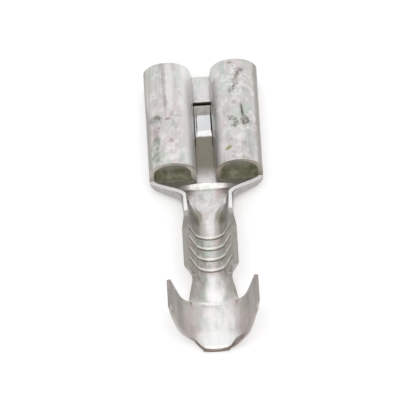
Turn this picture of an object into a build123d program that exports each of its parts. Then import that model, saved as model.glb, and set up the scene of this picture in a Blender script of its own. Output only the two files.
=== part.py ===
# Female spade terminal for a 6.3 mm tab, stamped and rolled from one strip of tinned brass.
# Millimetres. X is across, +Y points out of the mouth, +Z is up.
# The origin is at the mouth, on the upper face of the floor that the tab slides on.
# "back" is a distance behind the mouth, so a section stands at Y = -back.
import os
from math import asin, atan, atan2, cos, degrees, hypot, pi, radians, sin, sqrt

from build123d import *

# Strip
sheet = 0.32                 # thickness of the brass strip

# Receptacle, which grips the tab
body_width = 7.60            # over both rolls
roll_height = 2.45           # from the floor up to the roof inside a roll
floor_corner_radius = 0.35   # inside radius where the floor turns up
mouth_gap = 1.08             # between the two rolled lips at the mouth
rear_gap = 1.25              # between the two lips at their rear cut
lip_clearance = 0.35         # from the floor up to the end of each lip
lip_slant = 0.14             # how far a lip's end stands nearer the middle than its root
lip_edge = 0.20              # strip left at the lip's end, inside its bevel
lip_bevel = 0.40             # height of that bevel
roll_setback = 0.37          # the rolls start this far behind the floor's edge
rolls_back = 8.06            # rear cut of the rolls
mouth_floor_width = 4.70     # floor's front edge, between its slanted corners
mouth_bevel = 0.12           # lead-in on the floor's front edge

# Spring tongue and its locking dimple
tongue_width = 1.08
tongue_slot = 0.14           # width of the shear gap round the tongue
tongue_back = 2.26           # free end of the tongue
tongue_root = 5.40           # where the side gaps end
dimple_offset = 0.05         # the dimple was struck a little to one side
dimple_width = 0.90          # across its flat top
dimple_rise = 0.34
dimple_top = 1.17            # length of its flat top
dimple_front_slope = 0.94
dimple_rear_slope = 0.25
dimple_side_slope = 0.06

# Step behind the receptacle
step_drop = 0.16             # the floor behind the rolls lies this much lower
step_back = 8.20             # upper edge of the slope on the centre line
step_side_back = 8.55        # and beside the walls, so the slope is a lens from above
step_foot = 8.58             # lower edge of the slope on the centre line
step_foot_bow = 0.04
joggle = 0.12                # the underside drops within this length

# Shoulders that narrow the strip to the wire barrel
shoulder_end = 9.68
throat_width = 3.50          # outside width where the shoulders end

# Wire barrel
wire_floor_radius = 0.96     # inside radius of its round floor
wire_lean = 19.8             # degrees that its wings lean outwards
wire_front = 11.40           # the slanted front edges of the wings start here
wire_crest = 12.70           # the wings have their full height from here
wire_back = 15.55            # rear edge of the wings
wire_corner = 0.20           # rounded corner at the top of that edge
wire_front_height = 1.62     # above its own floor
wire_wing_height = 2.30
serration_first = 12.37      # bottom of the first groove
serration_pitch = 0.82
serration_count = 4
serration_depth = 0.10
serration_front_slope = 0.17
serration_rear_slope = 0.11
serration_reach = 2.05       # the grooves fade out this high on the wings

rolls_wall_top = 0.42        # top of the low wall just behind the rolls
throat_wall_top = 1.02       # and where the shoulders end
throat_flat = 0.20           # flat half width left where the wire wings start
throat_lean = 14.0
throat_ease = 0.75           # its floor turns round soonest at the start
least_flat = 0.02            # a round floor keeps this much flat

# Neck between the barrels
neck_half_strip = 1.64       # half the width of the strip there, measured along its middle
neck_end_arc_share = 0.9     # share of it that is rounded where the neck ends
neck_ease = 1.3              # the neck opens slowly at first
neck_front_corner = 0.35     # inside corner of the blank behind the wire wings
neck_rear_corner = 0.48      # and in front of the insulation wings
crease_back = 17.55          # the neck ends in a slight crease on the insulation barrel's floor
crease_rise = 0.07
crease_run = 0.10

# Insulation barrel; "along" is a way up its wings, measured along the middle of the strip
grip_front = 17.33           # front edge of the wings
grip_back = 20.67            # rear end of the cut-off tab
grip_drop = 0.20             # its floor lies this much below the wire barrel's
grip_floor_radius = 2.33     # inside radius of its round floor
grip_lean = 13.5             # degrees that its wings lean outwards
grip_wing_height = 4.14      # above its own floor, at the tips
tab_width = 1.70             # the piece left by the carrier strip
cut_start = 20.60            # the slanted cuts beside the tab start here
cut_end = 20.37              # and end here on the right,
cut_reach = 2.00             # this far along
wing_top_back = 19.85        # the rear edge of the right-hand wing leans forward to here
left_cut_end = 20.13         # the shears bit deeper on the left
left_cut_reach = 1.55
left_wing_top_back = 19.60
wing_corner = 0.32           # rounded corner at the top of that edge
tip_corner = 0.20            # and at the top of the front edge
wing_edge = 0.13             # strip left at the wings' coined rear edge
coin_length = 0.40           # the coined bevel on the outside of the right-hand one
left_coin_length = 0.14
tip_thinning = 0.10          # the strip is this much thinner at the top
tip_length = 1.00            # within this length
tail_run = 0.26              # the tab's end is rolled down over this length
tail_fall = 0.10

# Worked out from the above
half = sheet / 2
grip_bend = radians(90 - grip_lean) * (grip_floor_radius + half)
grip_wall = grip_wing_height - grip_floor_radius * (1 - sin(radians(grip_lean)))
grip_half_strip = grip_bend + grip_wall / cos(radians(grip_lean))
neck_arc = radians(90 - wire_lean) * (wire_floor_radius + half)
neck_arc_share = neck_arc / neck_half_strip
wall_inside = body_width / 2 - sheet
roll_roof_radius = (wall_inside - sheet - mouth_gap / 2 - lip_slant) / 2
roof_x = wall_inside - roll_roof_radius
roof_z = roll_height - roll_roof_radius
wire_floor = -step_drop
grip_floor = wire_floor - grip_drop
right_shear = (cut_end, cut_reach, wing_top_back, coin_length)
left_shear = (left_cut_end, left_cut_reach, left_wing_top_back, left_coin_length)

# Model
overlap = 0.05               # how far one stretch of the model runs into the next
step_margin = 0.04           # the step's plate ends in the walls' round corners
clear = 2 * body_width       # size of blocks that cut right through
least_coining = 0.03
narrowing_steps = 9          # stretches between the sections of each loft
throat_steps = 4
step_plan_steps = 4
neck_steps = 5
corner_steps = 5
corner_turn = 80             # degrees of a quarter circle that the wings' top corners keep
cut_steps = 3
bend_steps = 4


def section_plane(back):
    # local x is X, local y is Z
    return Plane(origin=(0, -back, 0), x_dir=(1, 0, 0), z_dir=(0, -1, 0))


def arc_about(centre, radius, start, end):
    # arc through three points, angles in degrees
    points = [
        (centre[0] + radius * cos(radians(a)), centre[1] + radius * sin(radians(a)))
        for a in (start, (start + end) / 2, end)
    ]
    return ThreePointArc(*points)


def mirrored_face(half_outline, back):
    # closes a right-hand outline with its mirror image and stands it at its place
    outline = Curve() + half_outline
    face = make_face(outline + mirror(outline, Plane.YZ))
    return section_plane(back) * face


def receptacle_section(back, gap):
    # floor, upright side, rolled roof and hanging lip of one roll, then mirrored
    lip_end = (gap / 2, lip_clearance)
    roof = (roof_x, roof_z)
    outer = roll_roof_radius + sheet
    to_roof = (roof[0] - lip_end[0], roof[1] - lip_end[1])
    reach = hypot(*to_roof)
    lip_angle = degrees(atan2(to_roof[1], to_roof[0]) + asin(outer / reach))
    end_angle = lip_angle + 90
    along = (cos(radians(lip_angle)), sin(radians(lip_angle)))
    lip_length = sqrt(reach ** 2 - outer ** 2)
    lip_inner = (lip_end[0] + lip_edge * along[1], lip_end[1] - lip_edge * along[0])
    bevel_top = (
        lip_end[0] + sheet * along[1] + lip_bevel * along[0],
        lip_end[1] - sheet * along[0] + lip_bevel * along[1],
    )
    outer_tangent = (lip_end[0] + lip_length * along[0], lip_end[1] + lip_length * along[1])
    inner_tangent = (outer_tangent[0] + sheet * along[1], outer_tangent[1] - sheet * along[0])
    corner = (wall_inside - floor_corner_radius, floor_corner_radius)
    corner_outer = floor_corner_radius + sheet
    return mirrored_face(
        [
            Line((0, -sheet), (corner[0], -sheet)),
            arc_about(corner, corner_outer, -90, 0),
            Line((body_width / 2, corner[1]), (body_width / 2, roof_z)),
            arc_about(roof, outer, 0, end_angle),
            Line(outer_tangent, lip_end),
            Line(lip_end, lip_inner),
            Line(lip_inner, bevel_top),
            Line(bevel_top, inner_tangent),
            arc_about(roof, roll_roof_radius, end_angle, 0),
            Line((wall_inside, roof_z), (wall_inside, corner[1])),
            arc_about(corner, floor_corner_radius, 0, -90),
            Line((corner[0], 0), (0, 0)),
        ],
        back,
    )


def channel_section(back, floor, flat, radius, lean, wall, widen=0.0, thick=sheet):
    # U of the strip's thickness: flat floor, rounded corners and straight walls.
    # widen moves the outside out where the wall runs at a slant to the axis.
    lean_cos, lean_sin = cos(radians(lean)), sin(radians(lean))
    centre = (flat, floor + radius)
    outer_centre = (flat + widen, floor + radius)
    outer = radius + thick
    inner_end = (centre[0] + radius * lean_cos, centre[1] - radius * lean_sin)
    outer_end = (outer_centre[0] + outer * lean_cos, outer_centre[1] - outer * lean_sin)
    inner_top = (inner_end[0] + wall * lean_sin, inner_end[1] + wall * lean_cos)
    outer_top = (outer_end[0] + wall * lean_sin, outer_end[1] + wall * lean_cos)
    return mirrored_face(
        [
            Line((0, floor - thick), (outer_centre[0], floor - thick)),
            arc_about(outer_centre, outer, -90, -lean),
            Line(outer_end, outer_top),
            Line(outer_top, inner_top),
            Line(inner_top, inner_end),
            arc_about(centre, radius, -lean, -90),
            Line((flat, floor), (0, floor)),
        ],
        back,
    )


def wall_for(height, radius, lean):
    # straight length that brings a wall of this lean to a height above its floor
    return (height - radius * (1 - sin(radians(lean)))) / cos(radians(lean))


def receptacle():
    body = loft([receptacle_section(0, mouth_gap), receptacle_section(rolls_back, rear_gap)])
    front = Box(clear, 2 * roll_setback, clear)
    shelf = Plane.XY.offset(-2 * sheet) * make_face(
        Polyline(
            (-mouth_floor_width / 2 - roll_setback, -2 * roll_setback),
            (-mouth_floor_width / 2 - roll_setback, -roll_setback),
            (-mouth_floor_width / 2, 0),
            (mouth_floor_width / 2, 0),
            (mouth_floor_width / 2 + roll_setback, -roll_setback),
            (mouth_floor_width / 2 + roll_setback, -2 * roll_setback),
            close=True,
        )
    )
    body -= front - extrude(shelf, 2 * sheet)
    edge = body.edges().filter_by(Axis.X).group_by(Axis.Y)[-1].sort_by(Axis.Z)[-1]
    return chamfer(edge, mouth_bevel)


def frustum(base_size, top_size, base_centre, top_centre, low, high):
    # four-sided block that tapers from one rectangle to another
    lower = Pos(*base_centre, low) * Rectangle(*base_size)
    upper = Pos(*top_centre, high) * Rectangle(*top_size)
    return loft([lower, upper])


def with_tongue(body):
    # shear gaps on three sides of the tongue, and the dimple pressed up in it
    middle = -(tongue_back + tongue_root) / 2
    length = tongue_root - tongue_back
    outside = tongue_width + 2 * tongue_slot
    through = sheet + 2 * overlap
    gaps = Pos(0, middle + tongue_slot / 2, -half) * Box(outside, length + tongue_slot, through)
    gaps -= Pos(0, middle - tongue_slot / 2, -half) * Box(tongue_width, length + tongue_slot, through)
    top_start = tongue_back + dimple_front_slope
    top_centre = (dimple_offset, -(top_start + dimple_top / 2))
    base_length = dimple_front_slope + dimple_top + dimple_rear_slope
    base_centre = (dimple_offset, -(tongue_back + base_length / 2))
    base = (dimple_width + 2 * dimple_side_slope, base_length)
    top = (dimple_width, dimple_top)
    dimple = frustum(base, top, base_centre, top_centre, -overlap, dimple_rise)
    recess_base = (base[0] - sheet, base[1] - sheet)
    recess_top = (top[0] - sheet, top[1] - sheet)
    recess = frustum(recess_base, recess_top, base_centre, top_centre, -sheet, dimple_rise - sheet)
    return body - gaps + dimple - recess


def shoulder_share(back):
    return min(max((back - rolls_back) / (shoulder_end - rolls_back), 0), 1)


def shoulder_width(back):
    # outside half width: a smooth ramp from the rolls in to the throat
    return throat_width / 2 + (body_width - throat_width) / 4 * (1 + cos(pi * shoulder_share(back)))


def shoulder_widen(back):
    # a wall that runs at a slant takes more than the strip's thickness across
    steepest = (body_width - throat_width) / 4 * pi / (shoulder_end - rolls_back)
    return sheet / cos(atan(steepest * sin(pi * shoulder_share(back)))) - sheet


def shoulder_inside(back):
    return shoulder_width(back) - shoulder_widen(back) - sheet


def blend(start, end, share):
    return start + (end - start) * min(max(share, 0), 1)


def shoulder_section(back):
    # behind the rolls: flat floor, tight corners and low upright walls
    floor = blend(0, wire_floor, (back - rolls_back) / joggle)
    top = blend(rolls_wall_top, throat_wall_top, (back - rolls_back) / (shoulder_end - rolls_back))
    flat = shoulder_inside(back) - floor_corner_radius
    wall = wall_for(top - floor, floor_corner_radius, 0)
    widen = shoulder_widen(back)
    return channel_section(back, floor, flat, floor_corner_radius, 0, wall, widen)


def throat_section(share):
    # from the flat floor of the shoulders to the round floor of the wire barrel
    back = blend(shoulder_end, wire_front, share)
    eased = share ** throat_ease
    radius = blend(floor_corner_radius, wire_floor_radius, eased)
    lean = blend(0, throat_lean, eased)
    start_flat = throat_width / 2 - sheet - floor_corner_radius
    flat = blend(start_flat, throat_flat, eased)
    height = blend(throat_wall_top - wire_floor, wire_front_height, share)
    return channel_section(back, wire_floor, flat, radius, lean, wall_for(height, radius, lean))


def wire_section(back, height):
    wall = wall_for(height, wire_floor_radius, wire_lean)
    return channel_section(back, wire_floor, least_flat, wire_floor_radius, wire_lean, wall)


def shoulders():
    # behind the rolls the strip narrows, then its floor turns round
    start = rolls_back + joggle
    backs = [blend(start, shoulder_end, n / narrowing_steps) for n in range(narrowing_steps + 1)]
    shares = [n / throat_steps for n in range(throat_steps + 1)]
    drop = loft([shoulder_section(rolls_back), shoulder_section(start)])
    narrowing = loft([shoulder_section(back) for back in backs])
    return drop + narrowing + loft([throat_section(share) for share in shares])


def step_plan(middle, side):
    # the floor from the rolls back to a bowed edge, and out into the walls' round corners
    backs = [blend(rolls_back - overlap, side, n / step_plan_steps) for n in range(step_plan_steps + 1)]
    right = [(shoulder_inside(back) - step_margin, -back) for back in backs]
    left = [(-x, y) for x, y in right]
    return make_face(
        Curve() + [
            Line(left[0], right[0]),
            Spline(*right),
            ThreePointArc(right[-1], (0, -middle), left[-1]),
            Spline(*left),
        ]
    )


def step():
    # the receptacle's floor runs on behind the rolls and ends in a slope, widest in the middle
    upper = step_plan(step_back, step_side_back)
    lower = Pos(0, 0, -step_drop) * step_plan(step_foot, step_foot - step_foot_bow)
    return loft([lower, upper], ruled=True) + extrude(lower, -overlap)


def groove_outline(back, depth):
    # the inside of the wire barrel, pressed out by depth at the floor and by nothing at the top
    lean_cos, lean_sin = cos(radians(wire_lean)), sin(radians(wire_lean))
    centre = (least_flat, wire_floor + wire_floor_radius)
    radius = wire_floor_radius + depth
    side = (centre[0] + radius * lean_cos, centre[1] - radius * lean_sin)
    wall = wall_for(serration_reach, wire_floor_radius, wire_lean)
    top = (
        centre[0] + wire_floor_radius * lean_cos + wall * lean_sin,
        centre[1] - wire_floor_radius * lean_sin + wall * lean_cos,
    )
    lowest = centre[1] - radius
    return mirrored_face(
        [
            Line((0, lowest), (least_flat, lowest)),
            arc_about(centre, radius, -90, -wire_lean),
            Line(side, top),
            Line(top, (0, top[1])),
        ],
        back,
    )


def groove(back):
    # one serration: a gentle slope down, and a steep one up again
    bottom = groove_outline(back, serration_depth)
    front = groove_outline(back - serration_front_slope, 0)
    rear = groove_outline(back + serration_rear_slope, 0)
    return loft([front, bottom]) + loft([bottom, rear])


def wire_barrel():
    front = loft([throat_section(1), wire_section(wire_crest, wire_wing_height)])
    full = loft([wire_section(wire_crest, wire_wing_height), wire_section(wire_back, wire_wing_height)])
    rear_edges = full.edges().group_by(Axis.Y)[0].sort_by(Axis.Z)[-2:]
    barrel = front + fillet(rear_edges, wire_corner)
    for n in range(serration_count):
        barrel -= groove(serration_first + n * serration_pitch)
    return barrel


def neck_section(back, extra=0.0):
    # the floor opens out and drops while the strip's edges stay parallel; extra widens the strip
    share = (back - wire_back) / (crease_back - wire_back)
    eased = ((1 - cos(pi * share)) / 2) ** neck_ease
    radius = blend(wire_floor_radius, grip_floor_radius, eased)
    floor = blend(wire_floor, grip_floor + crease_rise, eased)
    rounded = neck_half_strip * blend(neck_arc_share, neck_end_arc_share, eased)
    lean = 90 - degrees(rounded / (radius + half))
    return channel_section(back, floor, least_flat, radius, lean, neck_half_strip - rounded + extra)


def neck_corner(edge_back, radius, way):
    # inside corner of the blank: the strip widens along a quarter circle up to a wing's edge
    sections = []
    for n in range(corner_steps + 1):
        turn = pi / 2 * n / corner_steps
        sections.append(neck_section(edge_back + way * radius * (1 - sin(turn)), radius * (1 - cos(turn))))
    return loft(sections, ruled=True)


def neck():
    start, end = wire_back + neck_front_corner, grip_front - neck_rear_corner
    smooth = [neck_section(blend(start, end, n / neck_steps)) for n in range(neck_steps + 1)]
    slope_end = channel_section(
        crease_back + crease_run,
        grip_floor - overlap,
        least_flat,
        grip_floor_radius,
        90 - degrees(neck_half_strip * neck_end_arc_share / (grip_floor_radius + half)),
        neck_half_strip * (1 - neck_end_arc_share),
        thick=half,
    )
    return (
        neck_corner(wire_back, neck_front_corner, 1)
        + loft(smooth)
        + neck_corner(grip_front, neck_rear_corner, -1)
        + loft([neck_section(grip_front), neck_section(crease_back)])
        + loft([neck_section(crease_back), slope_end])
    )


def corner_cut(along, radius):
    # what a rounded corner of this radius takes off a wing's edge near its top
    into = min(max(along - (grip_half_strip - radius), 0), radius)
    return radius - sqrt(radius ** 2 - into ** 2)


def cut_share(along, reach):
    return (along - tab_width / 2) / (reach - tab_width / 2)


def wing_rear(along, end, reach, top_back):
    # rear edge of a wing in the flat strip: slanted cut, leaning edge, round corner
    if along < reach:
        return blend(cut_start, end, cut_share(along, reach))
    share = (along - reach) / (grip_half_strip - reach)
    return blend(end, top_back, share) - corner_cut(along, wing_corner)


def strip_slice(along, end, reach, top_back, coin):
    # slice through the sheet of a wing, drawn on the right, square to its middle line:
    # local x points to the rear and local y outwards
    turn = min(along / (grip_floor_radius + half), radians(90 - grip_lean))
    wall = along - turn * (grip_floor_radius + half)
    rise_x, rise_z = cos(turn), sin(turn)
    x = grip_floor_radius * sin(turn) + wall * rise_x
    z = grip_floor + grip_floor_radius - grip_floor_radius * cos(turn) + wall * rise_z
    front = corner_cut(along, tip_corner)
    rear = wing_rear(along, end, reach, top_back) - grip_front
    full = sheet - tip_thinning * max(0, 1 - (grip_half_strip - along) / tip_length)
    edge = blend(sheet - least_coining, wing_edge, cut_share(along, reach))
    bevel = blend(least_coining, coin, cut_share(along, reach))
    plane = Plane(origin=(x, -grip_front, z), x_dir=(0, -1, 0), z_dir=(rise_x, 0, rise_z))
    return plane * make_face(
        Polyline((front, 0), (rear, 0), (rear, edge), (rear - bevel, full), (front, full), close=True)
    )


def tab_section(back, thinner=0.0):
    # floor of the insulation barrel between its wings
    centre = (0, grip_floor + grip_floor_radius)
    end = degrees(tab_width / 2 / (grip_floor_radius + half)) - 90
    outer = arc_about(centre, grip_floor_radius + sheet, -90, end)
    inner = arc_about(centre, grip_floor_radius + thinner, end, -90)
    return mirrored_face([outer, Line(outer @ 1, inner @ 0), inner], back)


def insulation_wing(shear):
    reach = shear[1]
    thin_start = grip_half_strip - tip_length
    corner_start = grip_half_strip - wing_corner
    turns = [radians(corner_turn) * n / corner_steps for n in range(corner_steps + 1)]
    last = [corner_start + wing_corner * sin(turn) for turn in turns]
    stretches = [
        [blend(tab_width / 2, reach, n / cut_steps) for n in range(cut_steps + 1)],
        [blend(reach, grip_bend, n / bend_steps) for n in range(bend_steps + 1)],
        [grip_bend, thin_start],
        [thin_start, corner_start],
    ]
    wing = loft([strip_slice(along, *shear) for along in last], ruled=True)
    for alongs in stretches:
        wing += loft([strip_slice(along, *shear) for along in alongs])
    return wing


def insulation_barrel():
    fall_start = grip_back - tail_run
    tab = loft([tab_section(grip_front), tab_section(fall_start)])
    tab += loft([tab_section(fall_start), tab_section(grip_back, tail_fall)])
    return tab + insulation_wing(right_shear) + mirror(insulation_wing(left_shear), Plane.YZ)


def build():
    body = with_tongue(receptacle())
    return body + shoulders() + step() + wire_barrel() + neck() + insulation_barrel()


if __name__ == "__main__":
    os.makedirs("parts", exist_ok=True)
    part = build()
    print("solids", len(part.solids()), "valid", part.is_valid)
    export_step(part, "parts/spade_terminal.step")
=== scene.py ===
# Spade terminal: tinned brass, lying on a pale studio floor
import bpy, math
from functools import reduce
from types import SimpleNamespace
from mathutils import Matrix, Vector


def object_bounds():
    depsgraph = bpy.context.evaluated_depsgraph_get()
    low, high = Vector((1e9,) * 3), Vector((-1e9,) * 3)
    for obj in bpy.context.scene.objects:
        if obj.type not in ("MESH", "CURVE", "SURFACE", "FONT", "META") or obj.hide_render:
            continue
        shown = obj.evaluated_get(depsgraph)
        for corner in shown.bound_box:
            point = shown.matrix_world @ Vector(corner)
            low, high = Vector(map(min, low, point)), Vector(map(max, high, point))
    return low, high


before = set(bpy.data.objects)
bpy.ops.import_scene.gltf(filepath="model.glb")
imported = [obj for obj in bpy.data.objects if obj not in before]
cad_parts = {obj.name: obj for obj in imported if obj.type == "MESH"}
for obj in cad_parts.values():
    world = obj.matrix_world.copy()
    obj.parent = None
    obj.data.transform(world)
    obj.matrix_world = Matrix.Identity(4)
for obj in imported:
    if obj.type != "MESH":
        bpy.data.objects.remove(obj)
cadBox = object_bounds()

mm = 0.001

# Camera: the photograph's view, from behind and above

viewSettings = {
    "elevation": 61.0,        # degrees above the floor plane
    "azimuth": 0.0,
    "roll": 3.5,              # the terminal leans to the right down the picture
    "distance": 1000 * mm,
    "fieldWidth": 27.73 * mm, # what the picture's width covers at the target
    "target": Vector((-0.01, -10.11, 0)) * mm,
    "sensorWidth": 36,
    "nearest": 0.1,           # of the distance
    "farthest": 10,
}


def makeCamera(s):
    data = bpy.data.cameras.new("camera")
    camera = bpy.data.objects.new("camera", data)
    bpy.context.scene.collection.objects.link(camera)
    turn = Matrix.Rotation(math.radians(s["azimuth"]), 4, "Z")
    tilt = Matrix.Rotation(math.radians(90 - s["elevation"]), 4, "X")
    roll = Matrix.Rotation(math.radians(-s["roll"]), 4, "Z")
    facing = turn @ tilt @ roll
    place = s["target"] + facing @ Vector((0, 0, s["distance"]))
    camera.matrix_world = Matrix.Translation(place) @ facing
    data.sensor_width = s["sensorWidth"]
    data.lens = s["sensorWidth"] * s["distance"] / s["fieldWidth"]
    data.clip_start = s["distance"] * s["nearest"]
    data.clip_end = s["distance"] * s["farthest"]
    bpy.context.scene.camera = camera
    print("camera lens", round(data.lens))


makeCamera(viewSettings)


# Shader values that Python's operators work on

class Wire:
    def __init__(self, tree, socket):
        self.tree = tree
        self.socket = socket

    def make(self, kind, settings=None, inputs=None, output=0):
        # any node: its settings first, then the values or links of its sockets
        node = self.tree.nodes.new(kind)
        for name, value in (settings or {}).items():
            setattr(node, name, value)
        for name, value in (inputs or {}).items():
            if isinstance(value, Wire):
                self.tree.links.new(value.socket, node.inputs[name])
            else:
                node.inputs[name].default_value = value
        return Wire(self.tree, node.outputs[output])

    def into(self, node, name):
        self.tree.links.new(self.socket, node.inputs[name])

    def math(self, operation, *values):
        return self.make("ShaderNodeMath", {"operation": operation}, dict(enumerate(values)))

    def __add__(self, other):
        return self.math("ADD", self, other)

    def __radd__(self, other):
        return self.math("ADD", other, self)

    def __sub__(self, other):
        return self.math("SUBTRACT", self, other)

    def __rsub__(self, other):
        return self.math("SUBTRACT", other, self)

    def __mul__(self, other):
        return self.math("MULTIPLY", self, other)

    def __rmul__(self, other):
        return self.math("MULTIPLY", other, self)

    def __truediv__(self, other):
        return self.math("DIVIDE", self, other)

    def __pow__(self, other):
        return self.math("POWER", self, other)

    def __abs__(self):
        return self.math("ABSOLUTE", self)


def rise(value, span):
    # 0 below the span, 1 above it and smooth between
    return value.make("ShaderNodeMapRange", {"interpolation_type": "SMOOTHSTEP"},
                      {"Value": value, "From Min": span[0], "From Max": span[1]})


def fall(value, span):
    return 1 - rise(value, span)


def band(value, span, soft):
    # 1 inside the span, its ends softened this far out and in
    low, high = span
    return rise(value, (low - soft, low + soft)) * fall(value, (high - soft, high + soft))


def along(value, start, end):
    # 0 at the start, 1 at the end and steady between
    run = (value - start) / (end - start)
    return run.math("MINIMUM", run.math("MAXIMUM", run, 0), 1)


def past(edge, margin):
    # a span that begins and ends so far beyond an edge
    return edge + margin[0], edge + margin[1]


def either(first, second):
    return first.math("MAXIMUM", first, second)


def tint(factor, under, over):
    # colour over another, by a mask
    return factor.make("ShaderNodeMix", {"data_type": "RGBA"}, {0: factor, 6: under, 7: over}, 2)


def readPlace(tree):
    # the object's own place in millimetres: x across, back behind the mouth, z up
    start = Wire(tree, tree.nodes.new("ShaderNodeTexCoord").outputs["Object"])
    return start.make("ShaderNodeMapping", None, {"Vector": start, "Scale": (1 / mm, -1 / mm, 1 / mm)})


def parts(vector):
    split = vector.tree.nodes.new("ShaderNodeSeparateXYZ")
    vector.into(split, 0)
    return [Wire(vector.tree, output) for output in split.outputs]


noiseRoughness = 0.55


def grain(point, stretch, scale, detail):
    # noise from 0 to 1 with its middle at 0.5, scale in lumps per millimetre
    moved = point.make("ShaderNodeMapping", None, {"Vector": point, "Scale": stretch})
    return point.make("ShaderNodeTexNoise", None,
                      {"Vector": moved, "Scale": scale, "Detail": detail, "Roughness": noiseRoughness})


spotEdge = 0.35, 1.5          # where a spot starts to fade and is gone, as squared shares of its radius


def spot(x, back, mark):
    # soft ellipse
    atX, atBack, wide, long, turn, strength = mark
    cosine, sine = math.cos(math.radians(turn)), math.sin(math.radians(turn))
    across = ((x - atX) * cosine + (back - atBack) * sine) / wide
    length = ((back - atBack) * cosine - (x - atX) * sine) / long
    return fall(across * across + length * length, spotEdge) * strength


def raggedSpot(x, back, wobble, mark):
    # its outline wanders by a share of the mark's own size
    wide, long = mark[2:4]
    return spot(x + wobble * wide, back - wobble * long, mark)


# Studio: white floor and backdrop for the camera, soft lamp above

studio = {
    "floorHeight": cadBox[0][2],                # the terminal rests on its two barrels
    "floorSize": 2.0,
    "paper": (0.88, 0.88, 0.88, 1),
    "paperRoughness": 0.9,
    "paperGlow": 0.27,                          # lifts the lit floor to white and leaves the shadow
    "white": (1, 1, 1, 1),
    "worldLight": 0.76,                         # what the surroundings shed on matt surfaces
    "underHalfWidth": (0.9, 1.2),               # shaded paper seen through the shear gaps
    "underLength": (1.9, 5.6),
    "underSoft": 0.2,
    "underShade": (0.10, 0.09, 0.07, 1),
}


def seenByCamera(tree):
    # 1 for the camera, also in a mirror or through glass
    path = tree.nodes.new("ShaderNodeLightPath")
    kinds = "Is Camera Ray", "Is Glossy Ray", "Is Transmission Ray"
    camera, glossy, through = [Wire(tree, path.outputs[kind]) for kind in kinds]
    seen = camera + glossy + through
    return seen.math("MINIMUM", seen, 1)


def makeFloor(s):
    bpy.ops.mesh.primitive_plane_add(size=s["floorSize"], location=(0, 0, s["floorHeight"]))
    floor = bpy.context.object
    floor.name = "floor"
    paper = bpy.data.materials.new("paper")
    paper.use_nodes = True
    tree = paper.node_tree
    shader = tree.nodes["Principled BSDF"]
    x, back = parts(readPlace(tree))[:2]
    under = fall(abs(x), s["underHalfWidth"]) * band(back, s["underLength"], s["underSoft"])
    tint(under, s["paper"], s["underShade"]).into(shader, "Base Color")
    tint(under, s["white"], s["underShade"]).into(shader, "Emission Color")
    (seenByCamera(tree) * s["paperGlow"]).into(shader, "Emission Strength")
    shader.inputs["Roughness"].default_value = s["paperRoughness"]
    shader.inputs["Specular IOR Level"].default_value = 0
    floor.data.materials.append(paper)


def makeWorld(s):
    world = bpy.data.worlds.new("world")
    world.use_nodes = True
    background = world.node_tree.nodes["Background"]
    seen = seenByCamera(world.node_tree)
    background.inputs["Color"].default_value = s["white"]
    (seen + (1 - seen) * s["worldLight"]).into(background, "Strength")
    bpy.context.scene.world = world


makeFloor(studio)
makeWorld(studio)
print("studio ready")

lamps = {
    "above": {"place": (0, -0.07, 0.40), "aim": (0, -0.01, 0), "size": (0.30, 0.26), "power": 0.40},
}


def hangLamp(name, s):
    data = bpy.data.lights.new(name, "AREA")
    data.shape = "RECTANGLE"
    data.size, data.size_y = s["size"]
    data.energy = s["power"]
    lamp = bpy.data.objects.new(name, data)
    bpy.context.scene.collection.objects.link(lamp)
    place = Vector(s["place"])
    facing = (Vector(s["aim"]) - place).to_track_quat("-Z", "Y").to_matrix().to_4x4()
    lamp.matrix_world = Matrix.Translation(place) @ facing


for name, settings in lamps.items():
    hangLamp(name, settings)
print("lamps hung")


# Tin plate over brass. Places are in millimetres: x across, back behind the mouth, z up.
# A pair of numbers is the stretch over which a mask comes or goes, or the band that it covers.

plate = {
    "roll": (0.60, 0.585, 0.57, 1),       # dull plating on the rolls
    "floor": (0.74, 0.725, 0.735, 1),     # lighter colour on the up-facing flat floors, painted light
    "pink": (0.675, 0.575, 0.585, 1),
    "green": (0.525, 0.59, 0.53, 1),
    "pale": (0.78, 0.77, 0.76, 1),
    "worn": (0.36, 0.35, 0.315, 1),       # darker patches of the mottling
    "scuff": (0.15, 0.14, 0.115, 1),
    "stain": (0.30, 0.28, 0.10, 1),       # olive spot on the right-hand roll
    "inside": (0.76, 0.745, 0.60, 1),     # olive tarnish inside the rolls
    "insideDark": (0.46, 0.45, 0.32, 1),
    "shade": (0.215, 0.195, 0.16, 1),     # painted shade between the rolls and in the shear gaps
    "slot": (0.035, 0.032, 0.024, 1),     # painted near-black shade along the shear gap in front of the tongue
    "olive": (0.17, 0.16, 0.125, 1),      # olive grime, and painted shade in corners, grooves and gaps
    "cool": (0.80, 0.84, 0.93, 1),        # painted bluish highlight on top of the dimple
    "rim": (0.43, 0.395, 0.325, 1),       # cut ends of the rolls
    "brass": (0.145, 0.105, 0.085, 1),    # bare strip at the sheared edges
    "wall": (0.33, 0.312, 0.278, 1),      # duller plating on walls and wings
    # painted shade on faces that turn outward and on the outer part of the wall tops
    "wallTop": (0.27, 0.255, 0.228, 1),
    "shaded": (0.235, 0.230, 0.155, 1),   # painted shade on the throat's flanks
    "flank": (0.76, 0.735, 0.68, 1),      # yellowed flanks of the throat
    "patch": (0.41, 0.455, 0.40, 1),      # greenish patches of the neck and the insulation barrel
    "warm": (0.84, 0.775, 0.765, 1),      # warmer plating of the insulation barrel
    "tip": (0.30, 0.255, 0.24, 1),        # upper ends of the wings
    "crest": (0.90, 0.885, 0.80, 1),      # painted highlight on the crests of the serrations
    "sheen": (0.97, 0.97, 0.97, 1),       # painted highlights
}

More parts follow.
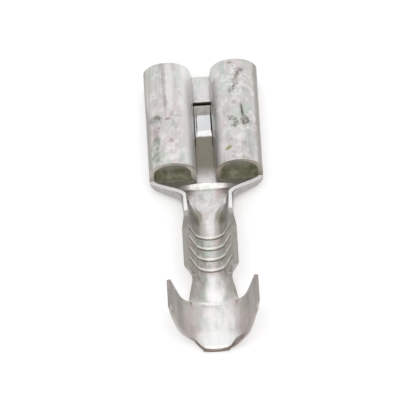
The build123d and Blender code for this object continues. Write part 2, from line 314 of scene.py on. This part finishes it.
body = {
    "width": (cadBox[1][0] - cadBox[0][0]) / mm,
    "rollX": 2.24, "rollZ": 1.21, "rollInside": 1.24,       # axis and inner radius of the rolls
    "wallInside": 3.48,
    "dimpleFront": 2.26, "dimpleTop": 3.20, "dimpleRear": 4.37, "dimpleEnd": 4.62,
    "rollsBack": 8.06, "shoulderEnd": 9.68,
    "throatWidth": 3.50, "throatFlat": 1.08,                # over the walls, and half of its flat floor
    "wireFront": 11.40, "serration": 12.37, "pitch": 0.82, "pitches": 3,
}

grains = {                    # stretch, lumps per millimetre, detail
    "cloud": ((1, 0.7, 1), 0.9, 3.0),
    "streak": ((1.6, 0.25, 1.6), 1.1, 3.0),
    "speckle": ((1, 1, 1), 5.0, 4.0),
    "blotch": ((1, 1, 1), 1.9, 1.5),
    "wear": ((1, 0.6, 1), 2.4, 4.0),
    "patch": ((0.9, 0.8, 0.9), 1.0, 3.0),
    "ribs": ((3.2, 0.10, 1.0), 1.1, 2.0),
    "polish": ((1.3, 0.5, 1.3), 2.2, 4.0),
    "wobble": ((1, 1, 1), 3.2, 4.0),
    "ragged": ((1, 1, 1), 3.4, 4.0),
    "fine": ((1, 1, 1), 14.0, 2.0),
}

surface = {
    "notDown": (-0.5, -0.2),  # every face that doesn't look down
    "inward": (0.02, 0.15),   # faces of the open channel, which look up and in
    "front": (0.55, 0.8),
    "rear": (-0.8, -0.55),
    "receptacle": (7.9, 8.0),
    "stains": (0.6, 0.4),     # shares of blotch and speckle
    "spots": (0.5, 0.5),
}


def readSurface(tree, s):
    # where a point of the metal is, which way it faces and what the grains are there;
    # each area below leaves its masks here for the ones after it
    at = SimpleNamespace()
    at.point = readPlace(tree)
    at.x, at.back, at.z = parts(at.point)
    normal = Wire(tree, tree.nodes.new("ShaderNodeNewGeometry").outputs["Normal"])
    at.faceX, at.faceY, at.faceZ = parts(normal)
    at.side = abs(at.x)
    at.outward = at.faceX * at.x.math("SIGN", at.x)
    at.notDown = rise(at.faceZ, s["notDown"])
    at.inward = fall(at.outward, s["inward"]) * rise(at.faceZ, s["inward"])
    at.frontFace = rise(at.faceY, s["front"])
    at.rearFace = fall(at.faceY, s["rear"])
    at.receptacle = fall(at.back, s["receptacle"])
    for name, (stretch, scale, detail) in grains.items():
        setattr(at, name, grain(at.point, stretch, scale, detail))
    for name in ("stains", "spots"):
        blotches, speckles = s[name]
        setattr(at, name, at.blotch * blotches + at.speckle * speckles)
    return at


# Mottling of the whole sheet

mottling = {
    "level": (0.90, 0.99), "floorTop": (0.10, 0.30), "floorRear": (9.6, 11.2), "floorShare": 0.85,
    "pinkCloud": (0.50, 0.66), "greenCloud": (0.34, 0.48), "cloudShare": 0.9,
    "throat": (8.6, 11.6), "throatSoft": 0.5, "throatShare": 0.6,       # less green there
    "layers": [                               # grain, span of it, strength, colour
        ("blotch", (0.46, 0.76), 0.85, "pale"),
        ("wear", (0.52, 0.72), 0.55, "worn"),
        ("streak", (0.54, 0.75), 0.38, "scuff"),
        ("speckle", (0.52, 0.78), 0.50, "worn"),
    ],
}


def mottle(at, s):
    # the up-facing flat floors are painted lighter, as painted light
    at.flat = rise(at.faceZ, s["level"]) * fall(at.z, s["floorTop"]) * fall(at.back, s["floorRear"])
    colour = tint(at.flat * s["floorShare"], plate["roll"], plate["floor"])
    colour = tint(rise(at.cloud, s["pinkCloud"]) * s["cloudShare"], colour, plate["pink"])
    green = s["cloudShare"] - band(at.back, s["throat"], s["throatSoft"]) * s["throatShare"]
    colour = tint(fall(at.cloud, s["greenCloud"]) * green, colour, plate["green"])
    for name, span, strength, shade in s["layers"]:
        colour = tint(rise(getattr(at, name), span) * strength, colour, plate[shade])
    return colour


# Duller and warmer places: front of the right-hand roll, shoulders, neck and insulation barrel,
# and painted shade on the faces that turn outward

dulling = {
    "frontEnd": (0.3, 1.7), "rightRoll": (0.5, 1.0), "frontShare": 0.16,
    "outerFace": (0.62, 0.93), "lowest": (0.04, 0.22), "highest": (0.45, 0.75), "outerShare": 0.88,
    "shoulderFront": (7.98, 8.14), "shoulderRear": (10.0, 11.8),
    "shoulderFace": (0.02, 0.2), "shoulderUp": (0.5, 0.8), "shoulderShare": 0.35, "shoulderSpeckle": 0.4,
    "warmFrom": (16.9, 17.4), "warmShare": 0.10, "warmCloud": 0.6,
    "greenFrom": (15.4, 16.0), "greenSpan": (0.50, 0.62), "greenShare": 0.40,
    "pinkFrom": (14.6, 15.4), "pinkSpan": (0.38, 0.52), "pinkShare": 0.65,
}


def dull(at, colour, s):
    # darker towards the front of the right-hand roll
    front = fall(at.back, s["frontEnd"]) * rise(at.x, s["rightRoll"])
    colour = tint(front * s["frontShare"], colour, plate["worn"])
    # painted shade on the faces that turn outward
    outer = rise(at.outward, s["outerFace"]) * rise(at.faceZ, s["lowest"]) * fall(at.faceZ, s["highest"])
    colour = tint(outer * s["outerShare"], colour, plate["wallTop"])
    at.shoulder = rise(at.back, s["shoulderFront"]) * fall(at.back, s["shoulderRear"])
    at.shoulder = at.shoulder * rise(at.outward, s["shoulderFace"]) * fall(at.faceZ, s["shoulderUp"])
    spread = s["shoulderShare"] + at.speckle * s["shoulderSpeckle"]
    colour = tint(at.shoulder * spread, colour, plate["wall"])
    warm = rise(at.back, s["warmFrom"]) * (s["warmShare"] + at.cloud * s["warmCloud"])
    colour = tint(warm, colour, plate["warm"])
    green = rise(at.back, s["greenFrom"]) * rise(at.patch, s["greenSpan"])
    colour = tint(green * s["greenShare"], colour, plate["patch"])
    pink = rise(at.back, s["pinkFrom"]) * fall(at.patch, s["pinkSpan"])
    return tint(pink * s["pinkShare"], colour, plate["pink"])


# Light and dark streaks from the drawing, at the front of the left-hand roll

drawing = {
    "paleSpan": (0.50, 0.70), "paleEnd": (3.2, 4.6), "paleSide": (-1.2, -0.8), "paleShare": 0.5,
    "darkSpan": (0.34, 0.48), "darkEnd": (2.6, 4.4), "darkSide": (-1.6, -1.2), "darkShare": 0.30,
}


def streakRoll(at, colour, s):
    pale = rise(at.ribs, s["paleSpan"]) * fall(at.back, s["paleEnd"]) * fall(at.x, s["paleSide"])
    colour = tint(pale * s["paleShare"], colour, plate["pale"])
    dark = fall(at.ribs, s["darkSpan"]) * fall(at.back, s["darkEnd"]) * fall(at.x, s["darkSide"])
    return tint(dark * s["darkShare"], colour, plate["worn"])


# Olive tarnish inside the rolls, with painted light towards the mouth and painted shade at the rear rim

insides = {
    "radius": (0.06, 0.14), "wall": (0.04, 0.10),           # past the inner faces
    "lowPart": (1.15, 1.22), "lipSide": (0.78, 0.86),
    "rearEnd": (8.00, 8.15), "bottom": (-0.08, -0.03), "cutFace": (0.5, 0.8),
    "darkSpan": (0.36, 0.60),
    # painted light towards the mouth, then painted shade at the rear rim
    "paleEnd": (6.86, 7.12), "paleShare": 0.65,
    "rearPart": (7.45, 8.0), "rearShare": 0.38,
    "share": 0.97,
}


def tarnishInside(at, colour, s):
    offX = at.side - body["rollX"]
    offZ = at.z - body["rollZ"]
    fromAxis = (offX * offX + offZ * offZ) ** 0.5
    inside = either(fall(fromAxis, past(body["rollInside"], s["radius"])), fall(at.z, s["lowPart"]))
    inside = inside * fall(at.side, past(body["wallInside"], s["wall"])) * rise(at.side, s["lipSide"])
    inside = inside * fall(at.back, s["rearEnd"]) * rise(at.z, s["bottom"])
    at.deep = inside * fall(abs(at.faceY), s["cutFace"])
    tarnish = tint(rise(at.stains, s["darkSpan"]), plate["inside"], plate["insideDark"])
    # painted light towards the mouth and painted shade at the rear rim
    tarnish = tint(fall(at.back, s["paleEnd"]) * s["paleShare"], tarnish, plate["sheen"])
    tarnish = tint(rise(at.back, s["rearPart"]) * s["rearShare"], tarnish, plate["olive"])
    return tint(at.deep * s["share"], colour, tarnish)


# Painted shade on the floor between the rolls, on the front slope and sides of the dimple, in the slot
# and in the shear gaps, and masks for the dimple's painted highlights

channel = {
    "halfWidth": (0.66, 0.90), "top": (0.30, 0.60),
    "rearStart": (-0.03, 0.10), "rearEnd": (6.8, 8.3), "rearShare": 0.97,       # start behind the dimple
    "soft": 0.03, "slopeShare": 0.47, "slot": (2.00, 2.28),
    "sideFace": (0.5, 0.8), "sideLength": (2.2, 4.7), "sideShare": 0.9,
    "gapDepth": (-0.03, -0.01), "gapHalfWidth": (0.72, 0.76), "gapLength": (1.9, 5.6), "gapShare": 0.9,
    "sideSoft": 0.05,
    "dimpleHigh": (0.28, 0.33), "topSoft": 0.02,
    "rearFace": (-0.6, -0.3), "rearOverlap": 0.05,
}


def grimeChannel(at, colour, s):
    bottom = fall(at.side, s["halfWidth"]) * fall(at.z, s["top"]) * at.notDown
    rearFloor = rise(at.back, past(body["dimpleEnd"], s["rearStart"])) * fall(at.back, s["rearEnd"])
    colour = tint(bottom * rearFloor * s["rearShare"], colour, plate["shade"])
    slope = band(at.back, (body["dimpleFront"], body["dimpleTop"]), s["soft"])
    colour = tint(bottom * slope * s["slopeShare"], colour, plate["shade"])
    colour = tint(bottom * band(at.back, s["slot"], s["soft"]), colour, plate["slot"])
    sides = bottom * rise(abs(at.faceX), s["sideFace"]) * band(at.back, s["sideLength"], s["sideSoft"])
    colour = tint(sides * s["sideShare"], colour, plate["olive"])
    gaps = fall(at.z, s["gapDepth"]) * at.notDown * fall(at.side, s["gapHalfWidth"])
    gaps = gaps * band(at.back, s["gapLength"], s["sideSoft"])
    topSpan = body["dimpleTop"], body["dimpleRear"]
    rearSpan = body["dimpleRear"] - s["rearOverlap"], body["dimpleEnd"]
    at.dimpleTop = bottom * rise(at.z, s["dimpleHigh"]) * band(at.back, topSpan, s["topSoft"])
    at.dimpleRear = bottom * fall(at.faceY, s["rearFace"]) * band(at.back, rearSpan, s["soft"])
    return tint(gaps * s["gapShare"], colour, plate["shade"])


# Cut ends of the rolls and bare brass at the sheared edges

cuts = {
    "rims": (7.9, 8.2), "rimsSoft": 0.05, "rimsFrom": (0.25, 0.40), "mouth": (0.5, 0.6),
    "rightHalf": (0, 0.5), "rimShare": 0.60, "rimRight": 0.3, "rimSpeckle": 0.2,
    "brassShare": 0.15, "brassSpeckle": 0.3,
    "edgesFrom": (9.6, 9.9), "edgesOut": (0.12, 0.30), "edgesUp": (0.25, 0.40), "tips": (2.3, 2.8),
    "edgeShare": 0.9, "throat": (8.0, 10.6), "throatSoft": 0.3, "throatShare": 0.5,
    "grimeSpan": (0.48, 0.66), "grimeShare": 0.35,
    "tailFace": (-0.7, -0.4), "tailFrom": (18.9, 19.2), "tailSides": (1.2, 1.7), "tailSideShare": 0.6,
    "wingFrom": (17.0, 17.2), "wingSide": (1.9, 2.2),
    "rolledFrom": 20.55, "rolledSide": (0.84, 1.44), "rolledBack": 0.50, "rolledEdge": (-0.04, 0.04),
    "rolledEnd": (1.7, 2.2), "rolledFade": (1.0, 1.5), "rolledShare": 0.3,
}


def cutEdges(at, colour, s):
    cut = either(at.frontFace, at.rearFace)
    rims = cut * band(at.back, s["rims"], s["rimsSoft"]) * rise(at.z, s["rimsFrom"])
    mouth = cut * fall(at.back, s["mouth"])
    right = rise(at.x, s["rightHalf"])
    spread = s["rimShare"] + right * s["rimRight"] + at.speckle * s["rimSpeckle"]
    colour = tint(either(rims, mouth) * spread, colour, plate["rim"])
    spread = s["brassShare"] + at.speckle * s["brassSpeckle"]
    colour = tint(rims * right * spread, colour, plate["brass"])
    at.edges = rise(at.back, s["edgesFrom"]) * rise(at.outward, s["edgesOut"])
    at.edges = at.edges * rise(at.faceZ, s["edgesUp"])
    tips = at.edges * rise(at.z, s["tips"])
    spread = s["edgeShare"] - band(at.back, s["throat"], s["throatSoft"]) * s["throatShare"]
    colour = tint((at.edges - tips) * spread, colour, plate["wall"])
    grime = (at.edges - tips) * rise(at.stains, s["grimeSpan"])
    colour = tint(grime * s["grimeShare"], colour, plate["olive"])
    tail = fall(at.faceY, s["tailFace"]) * rise(at.back, s["tailFrom"])
    tail = tail * (1 - rise(at.side, s["tailSides"]) * s["tailSideShare"])
    wingFront = at.frontFace * rise(at.back, s["wingFrom"]) * rise(at.side, s["wingSide"])
    rolled = at.back - (s["rolledFrom"] - rise(at.side, s["rolledSide"]) * s["rolledBack"])
    rolled = rise(rolled, s["rolledEdge"]) * fall(at.side, s["rolledEnd"])
    rolled = rolled * (1 - rise(at.side, s["rolledFade"]) * s["rolledShare"])
    at.bare = either(either(tail, wingFront), either(tips, rolled))
    return colour


# Tops of the shoulder and throat walls: painted highlight along the inner edge, painted shade on the outer
# part and on the floor beside the step

tops = {
    "inner": (0.10, 0.15),                                  # in from the wall's outer face
    "allInner": (8.9, 9.4),                                 # nearer the rolls the painted highlight covers the whole top
    "length": (8.06, 10.9), "soft": 0.08, "up": (0.8, 0.9), "lowest": (0.34, 0.40), "outerShare": 0.9,
    "stepLength": (8.0, 8.62), "stepSoft": 0.05, "stepSide": (1.0, 1.5), "stepTop": (0.0, 0.2),
    "stepShare": 0.8,
}


def wallTops(at, colour, s):
    # the outer face narrows by half a cosine wave from the rolls to the throat
    turn = along(at.back, body["rollsBack"], body["shoulderEnd"]) * math.pi
    narrowing = (body["width"] - body["throatWidth"]) / 4
    halfWidth = body["throatWidth"] / 2 + (turn.math("COSINE", turn) + 1) * narrowing
    inner = either(rise(halfWidth - at.side, s["inner"]), fall(at.back, s["allInner"]))
    top = band(at.back, s["length"], s["soft"]) * rise(at.faceZ, s["up"]) * rise(at.z, s["lowest"])
    at.topInner = top * inner
    at.topOuter = top * (1 - inner)
    colour = tint(at.topOuter * s["outerShare"], colour, plate["wallTop"])
    # painted shade on the floor beside the step, behind the rolls
    at.step = band(at.back, s["stepLength"], s["stepSoft"]) * rise(at.side, s["stepSide"])
    at.step = at.step * fall(at.z, s["stepTop"]) * at.notDown
    return tint(at.step * s["stepShare"], colour, plate["olive"])


# Throat between the step and the wire barrel: painted light on its flanks and up its walls,
# painted shade on the inner part of the flanks, darker along its foot

throat = {
    "entry": (8.15, 8.75), "entrySoft": 0.06, "entrySide": (1.6, 2.0),
    "entryShare": 0.20, "entrySpeckle": 0.30,
    "narrowing": 0.85, "flankEdge": (-0.02, 0.16), "flankLength": (10.25, 11.9), "flankTop": (0.9, 1.3),
    "flankShare": 0.70, "soft": 0.3,
    "pinchFrom": 9.65, "pinchTo": 10.50, "pinchHalf": 0.98, "pinchBy": 0.58,
    "grimeEdge": (-0.05, 0.10), "grimeLength": (9.85, 11.1), "grimeSoft": 0.22,
    "grimeSide": (0.72, 1.05), "grimeTop": (0.5, 0.9), "grimeShare": 0.64, "grimeSpeckle": 0.2,
    "footLength": (11.0, 12.1), "footSide": (0.30, 0.85), "footSoft": 0.12, "footShare": 0.40,
    "wallLength": (10.2, 11.3), "wallSide": (1.0, 1.6), "wallSoft": 0.1, "wallShare": 0.5,
}


def shadeThroat(at, colour, s):
    entry = band(at.back, s["entry"], s["entrySoft"]) * fall(at.side, s["entrySide"]) * at.notDown
    spread = s["entryShare"] + at.speckle * s["entrySpeckle"]
    colour = tint(entry * spread, colour, plate["wall"])
    floorEdge = body["throatFlat"] - along(at.back, body["shoulderEnd"], body["wireFront"]) * s["narrowing"]
    flank = at.inward * rise(at.side - floorEdge, s["flankEdge"])
    flank = flank * band(at.back, s["flankLength"], s["soft"]) * fall(at.z, s["flankTop"])
    colour = tint(flank * s["flankShare"], colour, plate["flank"])
    pinched = s["pinchHalf"] - along(at.back, s["pinchFrom"], s["pinchTo"]) * s["pinchBy"]
    grime = at.inward * rise(at.side - pinched, s["grimeEdge"]) * fall(at.side, s["grimeSide"])
    grime = grime * band(at.back, s["grimeLength"], s["grimeSoft"]) * fall(at.z, s["grimeTop"])
    colour = tint(grime * (s["grimeShare"] + at.speckle * s["grimeSpeckle"]), colour, plate["shaded"])
    foot = at.inward * band(at.back, s["footLength"], s["soft"])
    foot = foot * band(at.side, s["footSide"], s["footSoft"])
    colour = tint(foot * s["footShare"], colour, plate["wall"])
    wall = at.inward * band(at.back, s["wallLength"], s["soft"])
    wall = wall * band(at.side, s["wallSide"], s["wallSoft"])
    return tint(wall * s["wallShare"], colour, plate["sheen"])


# Dull sides of the neck, the insulation wings and their tips

wings = {
    "neckLength": (15.7, 17.1), "neckSoft": 0.35, "neckSide": (0.35, 0.85),
    "neckShare": 0.38, "middle": (-0.2, 0.2), "neckRight": 0.13,
    "from": (17.2, 17.6), "side": (1.25, 2.1), "share": 0.26, "streaks": 0.2,
    "tips": (2.7, 3.6), "tipShare": 0.45,
    "footSide": (0.85, 1.7), "footSoft": 0.25, "footShare": 0.20,
}


def dullWings(at, colour, s):
    neck = at.inward * band(at.back, s["neckLength"], s["neckSoft"]) * rise(at.side, s["neckSide"])
    neck = neck * (s["neckShare"] - rise(at.x, s["middle"]) * s["neckRight"])
    colour = tint(neck, colour, plate["wall"])
    rear = at.inward * rise(at.back, s["from"])
    upper = rear * rise(at.side, s["side"]) * (s["share"] + at.streak * s["streaks"])
    colour = tint(upper, colour, plate["wall"])
    colour = tint(at.inward * rise(at.z, s["tips"]) * s["tipShare"], colour, plate["tip"])
    foot = rear * band(at.side, s["footSide"], s["footSoft"])
    return tint(foot * s["footShare"], colour, plate["wall"])


# Scuffs on the rolls, with ragged outlines, and the painted shade and highlight of a crease.
# Each mark is x, back, half width, half length, degrees turned and strength.

wear = {
    "scuffs": [
        (-3.18, 4.50, 0.36, 0.36, 0, 0.70),
        (-2.31, 4.67, 0.28, 0.09, 0, 0.60),
        (-2.15, 6.35, 0.20, 0.16, 0, 0.45),
        (-3.16, 6.10, 0.30, 0.85, 5, 0.62),
        (-3.22, 7.35, 0.26, 0.45, 0, 0.50),
        (2.01, 0.61, 0.18, 0.09, 0, 0.72),
        (2.54, 1.27, 0.26, 0.24, 10, 0.78),
        (2.40, 1.72, 0.16, 0.38, 25, 0.72),
        (2.27, 2.12, 0.26, 0.30, -20, 0.88),
        (2.07, 2.62, 0.32, 0.18, -30, 0.70),
        (2.15, 3.70, 0.20, 0.16, 0, 0.40),
        (2.76, 5.08, 0.32, 0.34, 0, 0.95),
        (1.94, 4.87, 0.36, 0.17, 28, 0.95),
        (2.18, 5.32, 0.26, 0.24, 0, 0.95),
    ],
    "crease": (-2.46, 2.20, 0.15, 2.20, 0, 0.42),           # painted shade of a crease along the left-hand roll, painted highlight to its right
    "scratch": (2.66, 4.42, 0.08, 0.66, -5, 0.95),          # down into the right-hand roll's scuffs
    "stain": (1.61, 7.07, 0.26, 0.14, -25, 0.85),
    # painted highlight beside the crease
    "creaseLight": (-2.10, 2.00, 0.30, 1.90, 0, 0.60),
    "scuffLight": (2.35, 2.0, 0.80, 1.6, 12, 0.8),          # paler metal about the upper scuffs
    "lights": [                                             # paler patches of the rolls
        (-2.15, 7.25, 0.60, 0.50, 0, 0.8),
        (-2.60, 5.80, 0.40, 0.50, 0, 0.5),
        (2.30, 6.10, 0.60, 0.70, 0, 0.6),
        (1.80, 1.90, 0.35, 1.00, 0, 0.6),
    ],
    "rollsFrom": (1.0, 1.3),
    "wobble": 2.6, "scratchWobble": 0.03, "stainWobble": (0.12, 0.10),
    "raggedSpan": (0.44, 0.56), "solid": 0.52, "linesSolid": 0.75,
    "lightSpeckle": (0.48, 0.60), "lightSpots": (0.42, 0.56),
    "lip": (0.05, 0.17), "lipFrom": (0.5, 0.9), "lipShare": 0.5,
}


def scuffRolls(at, colour, s):
    x, back = at.x, at.back
    wobble = (at.wobble - 0.5) * s["wobble"]
    onRolls = rise(at.z, s["rollsFrom"]) * at.receptacle * (1 - at.deep)
    dabs = [raggedSpot(x, back, wobble, mark) for mark in s["scuffs"]]
    ragged = rise(at.ragged, s["raggedSpan"])
    scuffs = reduce(either, dabs) * (s["solid"] + ragged * (1 - s["solid"]))
    lines = either(spot(x, back, s["crease"]), spot(x + wobble * s["scratchWobble"], back, s["scratch"]))
    lines = lines * (s["linesSolid"] + ragged * (1 - s["linesSolid"]))
    # the scuffs, the scratch and the crease's painted shade
    at.scuffs = either(scuffs, lines) * onRolls
    colour = tint(at.scuffs, colour, plate["scuff"])
    wobbleX, wobbleBack = s["stainWobble"]
    stain = spot(x + wobble * wobbleX, back - wobble * wobbleBack, s["stain"])
    colour = tint(stain * onRolls, colour, plate["stain"])
    clean = onRolls * (1 - at.scuffs)
    lights = [spot(x, back, s["scuffLight"]) * rise(at.speckle, s["lightSpeckle"]) * clean,
              spot(x, back, s["creaseLight"]) * clean]
    spots = rise(at.spots, s["lightSpots"])
    lights += [spot(x, back, light) * spots * onRolls for light in s["lights"]]
    colour = tint(reduce(either, lights), colour, plate["pale"])
    lip = fall(back, s["lip"]) * rise(at.z, s["lipFrom"])
    return tint(lip * s["lipShare"], colour, plate["rim"])


# Serrations of the wire barrel: grime, painted shade in their grooves and painted highlights on their
# crests, and painted shade along the fold where the neck meets the insulation barrel

serrations = {
    "lead": 0.02, "margin": 0.2, "soft": 0.02, "top": (1.55, 1.95),
    "groove": (0.16, 0.24), "grooveShare": 0.85,            # of the pitch
    "crest": (0.84, 0.955), "crestSoft": 0.04, "crestShare": 0.75, "crestSpeckle": 0.4,
    "grimeSpan": (0.48, 0.66), "grimeShare": 0.30,
    "fold": (0.0, 17.46, 1.0, 0.07, 0, 0.5),
}


def grimeSerrations(at, colour, s):
    turns = (at.back - body["serration"] + s["lead"]) / body["pitch"]
    phase = turns.math("FRACT", turns)
    last = body["serration"] + body["pitches"] * body["pitch"]
    inWire = band(at.back, (body["serration"] - s["margin"], last + s["margin"]), s["soft"])
    barrel = inWire * fall(at.z, s["top"]) * at.inward
    at.groove = fall(phase, s["groove"]) * barrel
    at.crest = band(phase, s["crest"], s["crestSoft"]) * barrel
    at.crest = at.crest * (s["crestShare"] + at.speckle * s["crestSpeckle"])
    colour = tint(barrel * rise(at.spots, s["grimeSpan"]) * s["grimeShare"], colour, plate["olive"])
    # painted shade in the grooves and along the fold
    colour = tint(at.groove * s["grooveShare"], colour, plate["olive"])
    return tint(at.inward * spot(at.x, at.back, s["fold"]), colour, plate["olive"])


# Painted highlights, where the plating is bright and soft

shine = {
    "glows": [                                # painted highlights: mark, and the share of it that stays unbroken
        ((0.18, 16.25, 0.66, 1.15, 0, 1.0), 0.50),          # neck
        ((0.32, 18.70, 1.20, 1.65, 0, 0.80), 0.45),         # insulation barrel
        ((0.10, 20.00, 1.45, 0.95, 0, 1.0), 0.75),          # tail
        ((0.10, 11.50, 0.26, 0.90, 0, 0.54), 0.6),          # throat
    ],
    "polishSpan": (0.36, 0.62),
    "crestShare": 0.8, "dimpleShare": 0.55,
    "flankFace": (0.30, 0.75), "flankFrom": (0.6, 0.9), "flankShare": 0.58, "middle": (-0.2, 0.2),
    "flankRight": 0.40,
    "ridge": (-0.25, 17.26, 0.70, 0.07, 4, 0.95),           # painted highlight in front of the fold
    "coolShare": 0.3, "crestTint": 0.85,
}


def burnish(at, colour, s):
    polish = rise(at.polish, s["polishSpan"])
    glows = [spot(at.x, at.back, mark) * (even + polish * (1 - even)) for mark, even in s["glows"]]
    glow = at.inward * reduce(either, glows) * (1 - at.groove) * (1 - at.bare)
    # painted light on the inner flanks of the rolls
    flank = rise(0 - at.outward, s["flankFace"]) * rise(at.z, s["flankFrom"])
    flank = flank * (s["flankShare"] - rise(at.x, s["middle"]) * s["flankRight"])
    flank = flank * (1 - at.deep) * at.receptacle
    ridge = at.inward * spot(at.x, at.back, s["ridge"])
    crest = at.crest * s["crestShare"]
    dimple = at.dimpleTop * s["dimpleShare"]
    at.bright = reduce(either, [at.topInner, crest, dimple, glow, flank, ridge])
    colour = tint(either(at.bright, at.dimpleRear), colour, plate["sheen"])
    colour = tint(at.dimpleTop * s["coolShare"], colour, plate["cool"])
    return tint(at.crest * s["crestTint"], colour, plate["crest"])


# The material of the whole sheet

finish = {
    "bare": 0.9,                                            # how much brass the sheared edges show
    "matt": 0.8, "mattTop": 0.2, "mattEdges": 0.6,          # plating that scatters light
    "roughness": 0.36, "speckle": 0.22, "deep": 0.25, "scuffs": 0.2, "flat": 0.06, "dimple": 0.26,
    "bumpSpeckle": 0.9, "bumpFine": 0.25, "bumpBlotch": 1.4, "bumpScuffs": 0.5,
    "bumpStrength": 0.6, "bumpHeight": 0.012 * mm,
}


def makePlate(s):
    metal = bpy.data.materials.new("tinned brass")
    metal.use_nodes = True
    tree = metal.node_tree
    shader = tree.nodes["Principled BSDF"]
    at = readSurface(tree, surface)
    colour = mottle(at, mottling)
    colour = dull(at, colour, dulling)
    colour = streakRoll(at, colour, drawing)
    colour = tarnishInside(at, colour, insides)
    colour = grimeChannel(at, colour, channel)
    colour = cutEdges(at, colour, cuts)
    colour = wallTops(at, colour, tops)
    colour = shadeThroat(at, colour, throat)
    colour = dullWings(at, colour, wings)
    colour = scuffRolls(at, colour, wear)
    colour = grimeSerrations(at, colour, serrations)
    colour = tint(at.bare * s["bare"], colour, plate["brass"])
    colour = burnish(at, colour, shine)
    colour.into(shader, "Base Color")

    matt = either(at.bright * (s["matt"] + at.topInner * s["mattTop"]), at.topOuter * s["matt"])
    matt = either(matt, either(at.edges, either(at.step, at.shoulder)) * s["mattEdges"])
    (1 - matt).into(shader, "Metallic")

    rough = s["roughness"] + (at.speckle - 0.5) * s["speckle"] + at.deep * s["deep"]
    rough = rough + at.scuffs * s["scuffs"] - at.flat * s["flat"] - at.dimpleRear * s["dimple"]
    rough.into(shader, "Roughness")

    height = at.speckle * s["bumpSpeckle"] + at.fine * s["bumpFine"] + at.blotch * s["bumpBlotch"]
    height = height - at.scuffs * s["bumpScuffs"]
    bump = height.make("ShaderNodeBump", None,
                       {"Height": height, "Strength": s["bumpStrength"], "Distance": s["bumpHeight"]})
    bump.into(shader, "Normal")
    print("plating made with", len(tree.nodes), "nodes")
    return metal


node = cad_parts["spade_terminal"]
plating = makePlate(finish)
for slot in node.material_slots:
    slot.material = plating

bpy.context.scene.view_settings.view_transform = "Standard"
